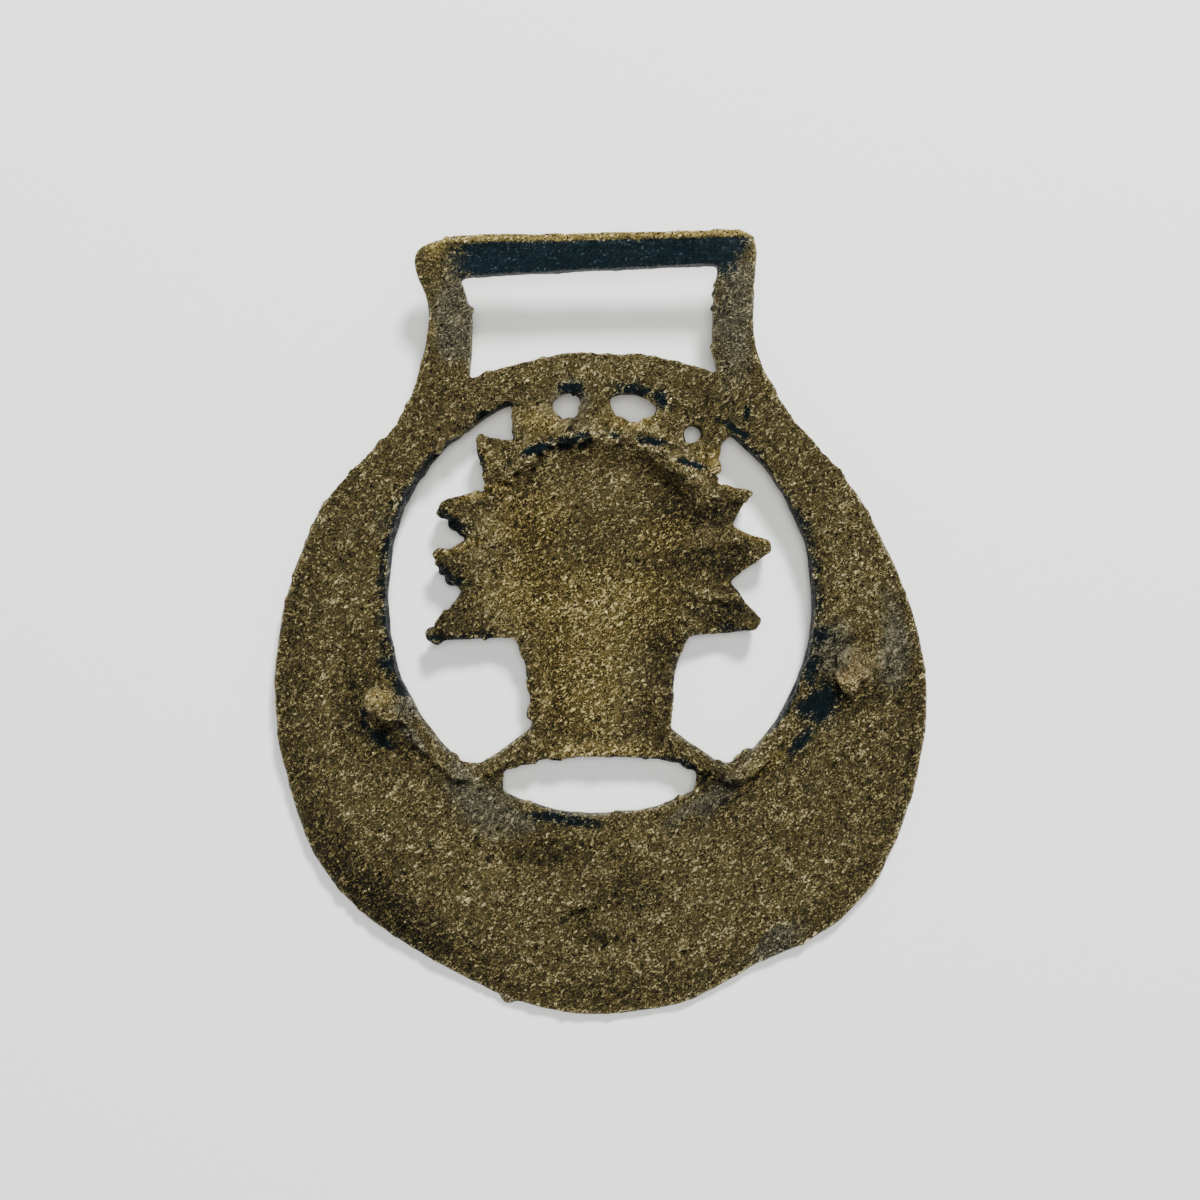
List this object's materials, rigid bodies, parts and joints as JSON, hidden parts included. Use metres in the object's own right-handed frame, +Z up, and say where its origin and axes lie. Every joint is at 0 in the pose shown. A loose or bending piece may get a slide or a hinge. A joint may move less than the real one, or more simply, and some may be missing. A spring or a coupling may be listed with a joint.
{
  "type": "horse brass",
  "caption": "Cast brass harness ornament: crescent plate with a strap loop and a rayed, hollow-backed ornament in its round opening, lying face down.",
  "frame": {"origin": "on the ground below the middle of the bounding box, with the brass lying face down", "axes": "+X across the brass, to the right as its back is seen with the strap loop at the top; +Y from the crescent's foot to the strap bar; +Z up, out of the back"},
  "size_m": [0.069, 0.082, 0.0101],
  "materials": {
    "brass": "aged sand-cast brass, rough grain with dark green-black patina and worn golden high spots"
  },
  "bodies": {
    "root": {"horse_brass": "brass"}
  },
  "joints": []
}
